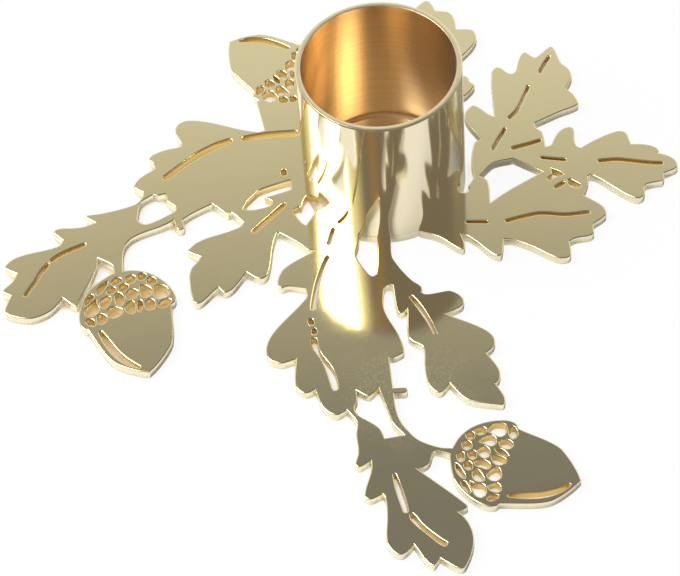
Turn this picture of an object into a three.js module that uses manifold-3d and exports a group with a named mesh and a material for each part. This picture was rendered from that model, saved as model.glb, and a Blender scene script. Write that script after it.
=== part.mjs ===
import * as THREE from 'three';
import { mergeVertices } from 'three/addons/utils/BufferGeometryUtils.js';
import Module from 'manifold-3d';

// Candlestick: a flat brass plate cut into oak leaves and acorns, with a brass candle cup soldered on it.
// Millimetres, +Z up. The origin is on the cup's axis, on the surface that the plate lies on.

// Driving dimensions of the cup
const candleDiameter = 22;
const candleClearance = 0.3; // across the diameter
const cupWall = 0.85;
const cupHeight = 24.8; // above the plate
const rimRound = 0.3;
const solderLeg = 0.6;

// Driving dimensions of the plate
const plateThickness = 1.5;
const leafSpread = 100.3; // tip of the left end leaf to tip of the right leaf
const discMargin = 0; // the disc under the cup is flush with the cup's wall
const frontAcornLength = 18.7; // stem joint to tip
const leftAcornLength = 18.7;
const backAcornLength = 16.8;

// How the curves are divided
const roundSegments = 72;
const rimSegments = 4;
const pitSegments = 14;
const spanSteps = 10; // samples between two drawn points
const slotSteps = 2; // and along a slot
const turnPerFacet = THREE.MathUtils.degToRad(13);
const cutMargin = 1; // a cutting prism stands this far out of both faces
const weldDistance = 1e-5;

// Worked out
const boreRadius = (candleDiameter + candleClearance) / 2;
const cupRadius = boreRadius + cupWall;
const discRadius = cupRadius + discMargin;
const seatRadius = boreRadius - solderLeg;
const plateTop = plateThickness;
const rimTop = plateTop + cupHeight;
const drawnSpread = 100.3; // the outlines below are drawn at this spread
const drawnAcornLength = 18.7; // and the acorn at this length
const plateScale = leafSpread / drawnSpread;

// Outlines, in plan, at full size about the cup's axis.
// An outline is a list of runs. Each run is a smooth curve from one sharp notch to the next and starts
// where the last one ended. A leaf's first and last points lie under the cup's disc or inside a leaf it
// grows from.

const frontLeaf = [
  [[-5.0, -6.0], [-10.9, -13.2]],
  [[-12.7, -14.2], [-14.6, -15.2], [-16.2, -16.6], [-16.95, -18.6], [-16.5, -19.75], [-15.4, -19.5],
    [-14.2, -19.9], [-12.95, -20.05]],
  [[-12.9, -21.6], [-14.3, -23.2], [-15.6, -25.0], [-17.2, -26.4], [-18.5, -28.2], [-19.2, -30.2],
    [-18.9, -32.0], [-17.3, -32.95], [-16.0, -32.75], [-15.0, -32.4]],
  [[-15.15, -34.0], [-15.4, -36.0], [-15.2, -37.4], [-14.4, -38.3], [-13.5, -38.4], [-12.6, -37.9]],
  [[-12.3, -39.2], [-11.7, -41.0], [-10.8, -42.1], [-9.8, -42.55], [-9.0, -42.3], [-8.35, -41.85]],
  [[-6.0, -44.5]],
  [[0.8, -47.2]],
  [[0.0, -46.0], [-0.8, -44.5], [-1.2, -43.0], [-1.45, -41.2], [-1.3, -38.5], [-1.6, -36.2],
    [-1.75, -34.7], [-1.7, -33.4]],
  [[-1.0, -33.45], [-0.2, -33.1], [0.4, -32.7], [0.5, -31.9], [0.3, -30.8], [0.0, -29.7], [-0.6, -28.4],
    [-1.25, -27.0], [-1.7, -25.5], [-1.85, -24.0], [-1.75, -22.5], [-1.6, -21.4], [-1.25, -20.8],
    [-0.8, -20.65], [-0.35, -20.8]],
  [[-1.0, -18.0]],
  [[-1.0, -8.0]],
];

const frontSideLeaf = [
  [[-2.1, -8.0], [0.1, -8.0]],
  [[0.1, -13.0], [-0.05, -14.8], [0.1, -16.0], [0.9, -17.1], [1.6, -18.2], [2.3, -19.8], [3.2, -20.7],
    [3.85, -21.4], [3.9, -22.0], [3.65, -22.35]],
  [[4.3, -22.75], [5.5, -22.75], [7.0, -22.5], [8.1, -22.55], [9.2, -23.3], [9.75, -24.3], [9.45, -25.3],
    [8.4, -25.95], [6.9, -26.5]],
  [[8.0, -27.1], [9.6, -28.1], [11.2, -29.0], [12.6, -30.0], [13.4, -31.1], [13.55, -32.1], [13.1, -33.1],
    [12.2, -33.9]],
  [[12.9, -35.1], [13.6, -36.5], [13.8, -37.6], [13.55, -38.6], [13.0, -39.3]],
  [[13.5, -40.4], [14.0, -41.4], [14.05, -42.4], [13.6, -43.0], [12.4, -42.75], [10.6, -42.3],
    [9.0, -41.8], [8.0, -41.0], [7.2, -39.8], [6.5, -38.7]],
  [[6.0, -39.3], [5.4, -39.95], [4.7, -40.05], [4.0, -39.5], [3.5, -38.5], [3.2, -37.0], [3.15, -35.5],
    [3.3, -34.0], [3.3, -32.6], [3.1, -31.9]],
  [[2.5, -31.5], [1.8, -30.9], [1.3, -30.2], [1.2, -29.2], [1.35, -27.6], [1.45, -26.2], [1.45, -25.2]],
  [[1.0, -25.6], [0.4, -25.8], [0.0, -25.4], [-0.1, -24.4], [0.0, -22.8], [-0.1, -21.6], [-0.35, -20.8]],
  [[-2.0, -19.6]],
];

const frontEndLeaf = [
  [[-5.0, -41.0], [-8.35, -41.85]],
  [[-7.6, -43.0], [-7.05, -44.2], [-7.3, -45.7], [-7.15, -47.2], [-7.2, -48.8], [-7.5, -50.2],
    [-7.75, -51.1], [-7.2, -51.55], [-6.3, -51.1], [-5.5, -50.6]],
  [[-5.5, -51.5], [-5.8, -52.8], [-6.3, -54.4], [-6.75, -55.6], [-6.75, -56.6], [-6.0, -57.0],
    [-5.1, -56.7], [-4.3, -56.3]],
  [[-4.0, -57.0], [-3.95, -58.5], [-4.0, -60.2], [-4.25, -61.8], [-4.35, -63.2], [-4.1, -64.7],
    [-3.3, -65.9], [-2.4, -66.25], [-1.5, -65.8], [-0.6, -64.8]],
  [[-0.2, -65.6], [0.4, -66.9], [1.1, -67.9], [1.8, -68.4], [2.3, -68.0], [2.8, -67.3]],
  [[3.6, -68.0], [4.6, -68.8], [5.5, -69.2], [6.1, -68.95], [6.8, -67.7], [7.4, -66.2], [7.7, -64.6],
    [7.55, -63.0], [7.1, -61.7], [6.5, -60.7], [5.95, -60.1]],
  [[6.6, -59.8], [7.2, -59.5], [7.2, -59.0], [6.5, -58.3], [5.3, -57.5], [4.2, -56.6], [3.4, -55.6],
    [2.7, -54.6], [1.8, -53.5], [0.8, -52.5]],
  [[1.5, -52.4], [2.3, -52.0], [2.8, -51.3], [3.1, -50.3], [3.5, -49.8], [4.3, -50.05], [5.2, -50.55],
    [6.2, -50.9]],
  [[6.4, -49.6]],
  [[4.8, -49.4], [3.2, -48.75], [1.8, -48.0], [0.9, -47.2], [0.0, -46.0]],
  [[-2.0, -44.0]],
];

const leftLeaf = [
  [[-8.0, 8.0], [-17.4, 9.9]],
  [[-18.2, 9.65], [-19.6, 9.95], [-21.6, 10.65], [-24.0, 11.65], [-26.3, 12.5], [-28.4, 12.9],
    [-30.0, 12.55], [-30.75, 11.6], [-30.75, 10.6], [-30.3, 9.6], [-30.0, 8.8], [-30.1, 7.95]],
  [[-31.6, 7.8], [-33.3, 7.3], [-34.5, 6.7], [-34.9, 6.1], [-34.6, 5.4], [-34.2, 4.8], [-34.15, 4.1]],
  [[-35.2, 3.5], [-36.4, 2.6], [-37.1, 1.7], [-37.3, 1.0], [-36.8, 0.35], [-36.0, -0.15]],
  [[-35.5, -3.0]],
  [[-30.3, -5.9]],
  [[-29.4, -5.2], [-28.2, -4.6], [-27.0, -4.15], [-26.2, -3.65], [-25.85, -3.4]],
  [[-25.2, -4.0], [-24.3, -4.8], [-23.55, -5.6]],
  [[-23.1, -5.25], [-22.5, -5.9], [-21.9, -6.5], [-21.4, -7.2]],
  [[-8.0, -4.0]],
];

const leftSideLeaf = [
  [[-20.0, -2.0], [-21.4, -7.2]],
  [[-21.8, -7.85], [-23.0, -8.4], [-24.8, -8.9], [-26.6, -9.35], [-28.2, -10.1], [-29.3, -11.0],
    [-29.75, -11.75], [-28.9, -12.35], [-27.95, -12.9]],
  [[-28.4, -13.7], [-29.2, -14.6], [-29.65, -15.8], [-29.7, -17.2], [-29.55, -18.8], [-29.4, -20.2],
    [-29.1, -21.1], [-28.4, -21.3], [-27.6, -20.8], [-26.8, -19.9], [-26.1, -19.2], [-25.5, -18.75]],
  [[-25.1, -19.4], [-24.6, -19.75], [-23.7, -19.4], [-22.8, -18.5], [-22.0, -17.3], [-21.3, -16.4]],
  [[-20.6, -17.1], [-19.8, -17.6], [-19.0, -17.75], [-18.3, -17.2], [-17.9, -16.0], [-17.6, -14.5],
    [-17.2, -12.5], [-16.9, -11.0], [-16.6, -9.9], [-16.2, -9.65]],
  [[-15.3, -10.25], [-14.2, -11.2], [-13.3, -12.05], [-12.6, -12.9], [-11.9, -13.3], [-10.9, -13.3]],
  [[-5.0, -6.0]],
  [[-8.0, 2.0]],
];

const leftEndLeaf = [
  [[-34.0, 1.0], [-36.0, -0.15]],
  [[-36.1, -0.95], [-36.7, -1.8], [-37.6, -2.4], [-39.0, -2.65], [-40.5, -3.0], [-42.0, -3.45],
    [-43.6, -3.5], [-44.6, -3.8], [-44.1, -4.5], [-43.3, -5.1]],
  [[-44.6, -5.6], [-46.2, -5.75], [-47.8, -5.6], [-49.0, -5.8], [-49.4, -6.35], [-48.8, -7.1],
    [-48.1, -7.9]],
  [[-48.6, -8.8], [-50.0, -9.2], [-52.0, -9.45], [-54.2, -10.0], [-55.8, -10.9], [-56.7, -12.0],
    [-56.2, -12.6], [-54.9, -13.4]],
  [[-55.4, -14.5], [-56.4, -15.6], [-57.0, -16.4], [-56.5, -16.85], [-55.8, -17.3]],
  [[-56.1, -18.3], [-56.65, -19.6], [-56.4, -20.5], [-55.3, -21.1], [-53.2, -21.65], [-51.6, -21.4],
    [-50.0, -20.6], [-48.9, -19.5], [-48.2, -18.4]],
  [[-47.5, -19.2], [-46.8, -19.85], [-46.3, -20.0], [-46.1, -19.4], [-45.8, -18.2], [-45.3, -16.9],
    [-44.5, -15.3], [-43.6, -13.8], [-43.0, -12.5], [-42.95, -11.7]],
  [[-42.2, -12.3], [-41.3, -12.9], [-40.8, -13.4], [-40.7, -14.4], [-40.6, -15.2]],
  [[-39.4, -15.2]],
  [[-39.35, -13.8], [-39.3, -12.2], [-39.15, -10.7], [-38.75, -9.6], [-38.2, -8.9], [-37.75, -8.5]],
  [[-36.5, -8.05], [-35.0, -7.4], [-33.5, -6.7], [-32.3, -6.1], [-31.8, -5.95]],
  [[-30.0, -4.0]],
];

const backLeaf = [
  [[2.0, 8.0], [7.0, 8.5]],
  [[9.3, 11.2], [11.6, 12.8], [13.3, 13.5], [14.4, 14.7], [14.75, 15.4], [14.1, 16.2], [13.9, 17.0],
    [13.1, 17.4], [11.9, 17.2], [10.9, 17.0]],
  [[11.5, 18.6], [12.4, 20.1], [13.6, 21.3], [14.8, 22.6], [15.6, 23.8], [15.9, 25.0], [15.5, 26.2],
    [14.4, 26.6], [13.0, 26.7]],
  [[12.95, 27.8], [12.7, 29.3], [12.0, 30.3], [10.9, 30.55], [10.1, 30.75]],
  [[9.8, 31.6], [9.4, 32.5], [8.8, 32.9], [8.0, 32.5], [7.0, 31.6], [6.2, 30.7]],
  [[5.2, 30.9], [4.2, 30.6], [3.6, 29.6], [3.4, 28.4], [3.0, 27.3]],
  [[1.9, 27.3], [0.7, 26.6], [0.3, 25.2], [0.7, 23.6], [1.3, 22.3]],
  [[0.2, 21.6], [-0.5, 20.2], [-0.3, 18.4], [0.8, 16.6], [1.9, 14.8], [2.4, 12.5], [2.0, 8.0]],
];

// The broad neck that carries the back acorn
const backNeck = [
  [[-8.0, 7.0], [-17.4, 9.8]],
  [[-17.6, 11.2], [-17.85, 12.8], [-18.1, 14.4], [-18.35, 15.5]],
  [[-13.0, 19.0]],
  [[-9.0, 17.0]],
  [[-8.2, 15.4], [-7.0, 13.4], [-5.6, 11.6], [-4.0, 8.0]],
];

// The three right-hand leaves, from the disc's front round to the gap beside the cup
const rightLeaves = [
  [[2.0, -6.0], [4.4, -11.5]],
  [[5.4, -11.85], [6.6, -12.4], [7.8, -13.2], [8.8, -14.1], [9.8, -15.05], [10.45, -15.3], [10.75, -14.6],
    [10.65, -13.6], [10.4, -12.6]],
  [[11.2, -12.9], [12.2, -13.8], [13.2, -15.0], [14.2, -16.1], [15.0, -16.85], [15.7, -17.0],
    [16.1, -16.3], [16.25, -15.2], [16.5, -14.05]],
  [[17.5, -14.2], [19.0, -14.9], [20.5, -15.8], [22.0, -16.9], [23.3, -17.9], [24.5, -18.35],
    [25.6, -18.2], [26.0, -17.5], [25.95, -16.5], [26.0, -15.4]],
  [[26.8, -14.95], [28.0, -14.8], [29.2, -14.6], [29.7, -14.1], [29.7, -13.3], [29.9, -12.5]],
  [[30.7, -11.9], [31.6, -11.3], [31.9, -10.6], [31.7, -9.7], [30.9, -8.7], [29.8, -7.9], [28.9, -7.1]],
  [[29.2, -6.2], [29.6, -5.3], [29.9, -4.6], [29.95, -3.7]],
  [[30.4, -3.5], [31.3, -4.1], [32.6, -5.3], [34.0, -6.6], [35.5, -7.9], [36.6, -8.5], [37.5, -8.3],
    [37.95, -7.4], [38.05, -6.4]],
  [[38.5, -6.0], [39.6, -5.9], [40.7, -5.7], [41.1, -5.0], [41.15, -4.25]],
  [[42.3, -3.85], [43.2, -3.3], [43.3, -2.4], [42.8, -1.5], [41.8, -0.75], [40.75, -0.35]],
  [[40.9, 0.1], [40.6, 0.7], [39.6, 1.3], [38.2, 1.65], [36.95, 1.75]],
  [[36.75, 3.0], [36.3, 4.1], [35.1, 4.4], [33.5, 3.75], [31.8, 3.15], [30.4, 2.4], [29.5, 1.8]],
  [[28.9, 2.2], [28.7, 3.2], [28.85, 4.6], [28.7, 5.6], [28.0, 5.9], [27.0, 5.55], [26.2, 4.8],
    [25.6, 3.8], [25.1, 2.8], [24.3, 2.55]],
  [[24.25, 3.3], [24.2, 4.5], [23.9, 5.5], [23.3, 6.1], [23.1, 7.1]],
  [[23.8, 7.5], [25.2, 8.2], [26.8, 8.8], [28.4, 9.3], [29.7, 9.9], [30.0, 10.5], [29.6, 11.7],
    [29.1, 12.6], [28.4, 13.3]],
  [[28.7, 13.8], [29.2, 14.7], [29.55, 15.7], [29.4, 16.7], [28.9, 17.6], [28.35, 18.2]],
  [[28.1, 19.0], [27.7, 20.6], [27.3, 21.55], [26.8, 21.75], [25.9, 21.0], [25.1, 20.25], [24.4, 19.85]],
  [[24.0, 20.1], [23.5, 20.65], [22.9, 21.05], [22.3, 20.6], [21.8, 19.6], [21.4, 18.2], [21.1, 17.4],
    [20.6, 17.05]],
  [[20.1, 17.2], [19.5, 17.85], [18.8, 18.45], [18.1, 18.4], [17.55, 17.6], [17.4, 16.3], [17.5, 14.5],
    [17.55, 12.5], [17.4, 10.5], [17.2, 9.05]],
  [[16.7, 9.3], [16.0, 10.05], [15.1, 11.0], [14.2, 11.45], [13.3, 10.8], [12.75, 9.7], [12.9, 8.5],
    [13.5, 7.3], [14.2, 6.1], [14.75, 4.95]],
  [[13.85, 4.4], [13.5, 3.4], [13.2, 2.0], [12.95, 0.5], [13.15, -1.0], [13.05, -2.3], [12.5, -3.2],
    [12.15, -3.8], [12.2, -4.5], [11.7, -4.9], [10.9, -4.8]],
  [[8.0, -3.0]],
];

const acornOutline = [
  [[0.0, -0.6], [0.0, 0.6]],
  [[0.4, 2.4], [1.7, 4.55], [3.8, 6.15], [6.0, 6.95], [7.2, 6.95], [7.9, 6.6], [8.2, 6.0]],
  [[9.6, 5.65], [12.6, 5.1], [14.0, 4.65], [15.0, 4.1], [16.0, 3.2], [17.0, 2.15], [18.0, 0.95],
    [18.7, -0.2]],
  [[18.3, -1.1], [17.0, -2.9], [15.4, -4.6], [12.5, -5.8], [8.75, -6.65]],
  [[8.3, -7.2], [7.3, -7.5], [5.6, -7.2], [3.4, -6.1], [1.6, -4.4], [0.4, -1.9], [0.0, -0.6]],
];

// Pits of the acorn's cap: the rounded outline of each, along and across the acorn
const capPits = [
  [[4.2, 4.5], [4.3, 5.3], [4.8, 6.0], [5.6, 6.25], [6.4, 6.1], [6.6, 5.3], [6.5, 4.4],
    [5.9, 4.1], [5.0, 4.35]],
  [[7.0, 5.2], [7.15, 5.95], [7.55, 6.2], [8.0, 5.7], [8.3, 5.1], [8.2, 4.5], [7.8, 4.15], [7.35, 4.6]],
  [[2.45, 4.35], [2.8, 4.85], [3.4, 5.0], [3.85, 4.7], [3.85, 4.2], [3.4, 3.75], [2.7, 3.85]],
  [[1.4, 3.3], [1.65, 3.75], [2.15, 3.85], [2.5, 3.4], [2.45, 2.85], [2.0, 2.65], [1.55, 2.85]],
  [[3.5, 2.6], [3.7, 3.3], [4.2, 3.75], [4.8, 4.0], [5.4, 3.7], [5.7, 3.1], [5.5, 2.45],
    [5.0, 2.3], [4.3, 2.45]],
  [[6.2, 3.2], [6.5, 3.65], [7.1, 3.8], [7.8, 3.6], [8.1, 3.1], [7.9, 2.55], [7.3, 2.35], [6.7, 2.5]],
  [[1.25, 1.85], [1.7, 2.25], [2.3, 2.05], [2.55, 1.5], [2.45, 1.0], [2.0, 0.8], [1.5, 1.1]],
  [[3.6, 1.1], [3.9, 1.65], [4.45, 2.0], [5.0, 1.65], [5.35, 1.0], [5.25, 0.4], [4.8, 0.15], [4.2, 0.35]],
  [[5.95, 1.9], [6.4, 2.1], [7.0, 2.0], [7.6, 1.6], [7.9, 1.25], [7.3, 1.2], [6.5, 1.4]],
  [[5.7, 0.8], [6.3, 0.9], [7.2, 0.8], [7.85, 0.55], [7.85, 0.15], [7.3, -0.4], [6.7, -0.5], [6.1, -0.1]],
  [[2.45, 0.35], [2.8, 0.85], [3.25, 0.8], [3.6, 0.1], [3.5, -0.45], [3.1, -0.5], [2.65, -0.15]],
  [[1.0, -0.3], [1.4, 0.25], [1.8, 0.15], [2.0, -0.4], [2.05, -1.05], [1.7, -1.3], [1.3, -0.95]],
  [[3.6, -0.85], [4.0, -0.45], [4.8, -0.3], [5.5, -0.5], [5.95, -1.0], [5.75, -1.5], [5.0, -1.5],
    [4.1, -1.35]],
  [[2.35, -1.6], [2.65, -1.0], [3.1, -1.1], [3.5, -1.7], [3.45, -2.15], [3.0, -2.3], [2.55, -2.05]],
  [[1.2, -1.75], [1.7, -2.0], [2.3, -2.65], [2.85, -3.3], [3.05, -3.8], [2.6, -3.75],
    [1.9, -3.25], [1.4, -2.5]],
  [[3.85, -2.4], [4.2, -2.0], [4.7, -2.25], [5.3, -2.85], [5.7, -3.4], [5.4, -3.7], [4.9, -3.8],
    [4.25, -3.55]],
  [[6.4, -1.35], [6.9, -0.95], [7.4, -1.35], [7.75, -2.1], [7.6, -2.85], [7.0, -3.2],
    [6.35, -3.05], [5.9, -2.55], [5.95, -2.05]],
  [[6.45, -4.2], [6.9, -3.7], [7.5, -3.5], [8.05, -3.9], [8.3, -4.45], [8.0, -4.85], [7.3, -4.9],
    [6.75, -4.7]],
  [[3.9, -4.15], [4.4, -4.3], [5.1, -4.25], [5.7, -4.15], [6.15, -4.6], [6.4, -5.4], [6.3, -6.05],
    [5.8, -6.3], [5.15, -6.1], [4.65, -5.5], [4.15, -4.8]],
  [[2.7, -4.6], [3.05, -4.3], [3.55, -4.75], [4.1, -5.4], [4.4, -5.95], [4.0, -5.88], [3.4, -5.5],
    [2.95, -5.0]],
  [[6.85, -6.05], [7.1, -5.55], [7.75, -5.4], [8.2, -5.45], [8.1, -5.95], [7.6, -6.4], [7.05, -6.5]],
];

// The crescent cut into the nut, drawn like a vein
const nutCrescent = [
  [9.7, -5.0, 0.45], [11.0, -4.7, 0.8], [12.5, -4.3, 0.95], [14.0, -3.8, 0.95], [15.3, -3.1, 0.88],
  [16.4, -2.25, 0.72], [17.05, -1.6, 0.45], [17.3, -1.3, 0.3],
];

// Where each acorn hangs: its stem joint and the way its tip points, in degrees
const acorns = [
  { stem: [5.7, -50.1], points: -19.5, length: frontAcornLength },
  { stem: [-40.2, -14.5], points: -76.5, length: leftAcornLength },
  { stem: [-9.5, 16.4], points: 138, length: backAcornLength },
];

// Open spaces between the leaves
const gaps = [
  // between the front leaf, its end leaf and the twig of the front acorn
  [[[-6.75, -38.65], [-6.1, -39.2], [-5.2, -39.75], [-4.4, -39.35], [-3.6, -38.5]],
    [[-3.3, -39.7], [-3.05, -41.2], [-2.7, -42.9], [-2.2, -44.4], [-1.4, -45.7], [-0.65, -46.75]],
    [[-2.0, -46.95], [-3.3, -47.05]],
    [[-3.55, -46.1], [-3.9, -45.3], [-4.6, -44.55], [-5.5, -43.85], [-6.6, -43.0], [-7.15, -42.0],
      [-7.1, -41.1], [-6.75, -40.2], [-6.75, -38.65]]],
  // between the front leaf and the twig of its side leaf, beside the cup
  [[[-1.9, -10.0], [-4.4, -10.0]],
    [[-4.65, -12.4], [-5.0, -13.4], [-5.25, -14.7], [-5.0, -15.7], [-4.4, -16.8], [-3.9, -17.8],
      [-3.55, -18.5], [-3.1, -18.8], [-2.7, -18.65], [-2.5, -18.0], [-2.4, -16.5], [-2.2, -14.5],
      [-2.0, -12.5], [-1.9, -10.0]]],
  // between the left leaf, its end leaf and the twig of the left acorn
  [[[-36.85, -4.2], [-36.7, -3.0], [-36.25, -1.95], [-35.4, -1.35], [-34.5, -0.8]],
    [[-33.9, -1.0], [-33.3, -0.95], [-32.7, -0.8]],
    [[-32.5, -1.4], [-32.55, -2.1], [-31.9, -2.8], [-31.3, -3.4], [-31.4, -4.1], [-32.3, -4.7],
      [-33.4, -5.2], [-34.6, -5.8], [-35.7, -6.1], [-36.5, -5.8], [-36.9, -5.1], [-36.85, -4.2]]],
  // curved opening between the left leaf and its side leaf
  [[[-21.3, -4.7], [-20.7, -3.5], [-19.8, -2.5], [-18.8, -1.55], [-17.6, -1.15], [-16.2, -0.75],
    [-14.9, -0.2], [-14.1, -0.1]],
    [[-13.95, -0.9], [-14.1, -1.8]],
    [[-15.3, -2.1], [-16.7, -2.55], [-18.0, -2.95]],
    [[-17.2, -3.5], [-16.95, -4.1], [-17.6, -4.6], [-18.8, -4.85], [-20.2, -5.0], [-21.3, -4.7]]],
  // notch beside the cup, where the left side leaf leaves the disc
  [[[-13.85, -5.5], [-13.2, -5.2], [-12.75, -5.3]],
    [[-12.3, -4.4], [-11.8, -3.3], [-10.5, -3.0]],
    [[-10.3, -5.8]],
    [[-11.4, -7.2], [-12.2, -8.6]],
    [[-12.7, -8.2], [-13.2, -7.4], [-13.7, -6.4], [-13.85, -5.5]]],
  // between the right middle leaf and the right front leaf
  [[[14.1, -2.05], [15.0, -1.1], [16.2, 0.1], [17.6, 0.4], [19.2, 0.7]],
    [[20.3, -0.15], [21.6, -1.1], [23.3, -2.15]],
    [[21.6, -2.85], [19.6, -4.05], [17.4, -5.5], [15.15, -7.1]],
    [[15.05, -5.5], [15.15, -3.4], [14.8, -2.6], [14.1, -2.05]]],
  // two small openings further out between the same leaves
  [[[24.7, -1.7], [25.5, -2.15], [26.3, -2.95]],
    [[25.7, -3.3], [25.0, -3.35], [24.2, -3.9]],
    [[24.0, -3.5], [24.7, -2.8], [24.7, -1.7]]],
  [[[26.9, -4.0], [27.4, -4.05], [28.0, -4.6], [28.6, -5.15], [28.4, -5.6], [27.6, -5.5], [27.0, -4.9],
    [26.9, -4.0]]],
];

// Veins cut through the leaves: the points of each route, with the width of the cut there
const veins = [
  [[-8.25, -9.75, 0.4], [-8.55, -10.7, 0.45], [-8.85, -11.7, 0.45], [-9.05, -12.3, 0.45]],
  [[-9.4, -14.75, 0.42], [-10.15, -16.35, 0.4], [-10.8, -18.2, 0.45], [-11.35, -20.2, 0.5],
    [-11.75, -22.2, 0.56], [-12.0, -23.7, 0.56]],
  [[-12.5, -25.85, 0.65], [-12.42, -26.4, 0.65]],
  [[-12.1, -27.55, 0.56], [-12.1, -28.1, 0.56]],
  [[-12.25, -29.35, 0.8], [-12.2, -30.1, 0.85], [-11.95, -31.1, 0.65], [-11.5, -32.1, 0.5],
    [-11.0, -33.1, 0.55],
    [-10.55, -34.1, 0.8], [-10.2, -35.1, 0.95], [-9.95, -36.2, 0.95], [-9.8, -37.2, 0.85],
    [-9.75, -37.9, 0.75]],
  [[2.25, -23.1, 0.45], [2.75, -23.95, 0.55], [3.45, -25.3, 0.6], [4.0, -26.5, 0.55], [4.45, -27.6, 0.48],
    [4.85, -28.7, 0.4], [5.15, -29.8, 0.3]],
  [[-2.42, -53.25, 0.35], [-2.2, -54.4, 0.6], [-2.0, -55.6, 0.7], [-1.7, -57.0, 0.75],
    [-1.45, -58.3, 0.7], [-1.3, -59.25, 0.55]],
  [[-0.5, -60.0, 0.5], [-0.3, -60.5, 0.75], [0.15, -61.3, 0.68], [0.85, -62.2, 0.58], [1.6, -63.0, 0.55],
    [2.4, -63.9, 0.6], [3.15, -64.65, 0.68], [3.6, -65.0, 0.68]],
  [[-12.8, 8.75, 0.95], [-15.0, 8.85, 0.95], [-17.5, 8.8, 0.9], [-19.5, 8.6, 0.85], [-20.6, 8.5, 0.7]],
  [[-22.7, 8.3, 0.7], [-24.2, 7.75, 0.95], [-26.0, 6.95, 0.95], [-27.8, 5.9, 0.95], [-29.3, 4.8, 0.85],
    [-30.8, 3.65, 0.8], [-32.2, 2.5, 0.75], [-32.7, 2.2, 0.6]],
  [[-14.95, 1.75, 0.75], [-14.9, 1.25, 0.75]],
  [[-19.9, -9.0, 0.5], [-18.8, -8.0, 0.6], [-17.5, -6.8, 0.65], [-16.2, -5.5, 0.6], [-15.2, -4.5, 0.5]],
  [[-44.9, -9.0, 0.4], [-46.5, -9.65, 0.5], [-48.0, -10.3, 0.5], [-49.2, -11.0, 0.45],
    [-49.75, -11.5, 0.35]],
  [[-50.3, -12.1, 0.35], [-50.85, -12.9, 0.6], [-51.5, -13.8, 0.46], [-52.2, -15.2, 0.46],
    [-53.0, -16.4, 0.42], [-53.6, -17.4, 0.38]],
  [[6.2, 14.5, 0.5], [6.9, 18.0, 0.6], [7.3, 21.0, 0.5]],
  [[7.5, 22.6, 0.5], [8.0, 26.0, 0.6], [8.5, 29.4, 0.5]],
  [[16.4, 2.75, 0.4], [17.3, 4.4, 0.46], [18.0, 5.5, 0.46], [18.5, 6.4, 0.4]],
  [[19.4, 8.45, 0.4], [20.6, 9.7, 0.46], [21.6, 11.6, 0.48], [22.3, 13.1, 0.46], [22.75, 14.2, 0.4]],
  [[24.8, 16.9, 0.35], [25.6, 18.3, 0.42], [26.5, 19.7, 0.35]],
  [[19.4, 2.65, 0.5], [21.5, 3.15, 0.5], [23.5, 3.7, 0.42]],
  [[23.5, 0.45, 0.35], [25.0, 0.1, 0.38], [26.9, -0.3, 0.35]],
  [[31.9, -1.0, 0.4], [34.5, -1.0, 0.44], [37.0, -1.55, 0.44], [39.5, -2.15, 0.44], [41.1, -2.35, 0.38]],
  [[11.4, -10.38, 0.35], [12.8, -10.52, 0.42], [14.3, -10.7, 0.38]],
  [[17.2, -10.75, 0.4], [19.5, -10.25, 0.45], [22.0, -9.85, 0.42], [24.0, -10.1, 0.42],
    [25.8, -10.45, 0.44], [29.3, -10.35, 0.38]],
  [[25.0, -5.3, 0.4], [26.2, -4.55, 0.45]],
];

// Broken-off twig stubs, drawn like the veins
const stubs = [
  [[-1.6, -39.15, 0.95], [0.0, -39.2, 0.95]],
  [[-31.0, -5.6, 1.3], [-30.65, -7.15, 1.25]],
];

// Solids from closed geometries
const wasm = await Module();
wasm.setup();

function toSolid(geometry) {
  const bare = geometry.clone();
  bare.deleteAttribute('normal');
  bare.deleteAttribute('uv');
  const welded = mergeVertices(bare, weldDistance);
  return new wasm.Manifold(new wasm.Mesh({
    numProp: 3,
    vertProperties: new Float32Array(welded.attributes.position.array),
    triVerts: new Uint32Array(welded.index.array),
  }));
}

function toGeometry(solid) {
  const mesh = solid.getMesh();
  const geometry = new THREE.BufferGeometry();
  geometry.setAttribute('position', new THREE.BufferAttribute(mesh.vertProperties, 3));
  geometry.setIndex(new THREE.BufferAttribute(mesh.triVerts, 1));
  geometry.computeVertexNormals();
  return geometry;
}

// Keeps the ends of a finely sampled curve and a point wherever it has turned by one facet's angle.
function thinned(points) {
  const kept = [points[0]];
  let heading = points[1].clone().sub(points[0]).angle();
  for (let i = 1; i < points.length - 1; i += 1) {
    const next = points[i + 1].clone().sub(points[i]).angle();
    const turn = Math.abs(Math.atan2(Math.sin(next - heading), Math.cos(next - heading)));
    if (turn > turnPerFacet) {
      kept.push(points[i]);
      heading = next;
    }
  }
  kept.push(points[points.length - 1]);
  return kept;
}

function smoothRun(points) {
  const curve = new THREE.SplineCurve(points);
  return thinned(curve.getPoints(spanSteps * (points.length - 1)));
}

// One closed loop of points from an outline's runs
function loopFrom(runs, scale) {
  const toPoint = ([x, y]) => new THREE.Vector2(x * scale, y * scale);
  const first = runs[0].map(toPoint);
  const loop = smoothRun(first);
  for (const run of runs.slice(1)) {
    const last = loop[loop.length - 1];
    loop.push(...smoothRun([last, ...run.map(toPoint)]).slice(1));
  }
  if (loop[0].distanceTo(loop[loop.length - 1]) < weldDistance) {
    loop.pop();
  }
  return loop;
}

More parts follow.
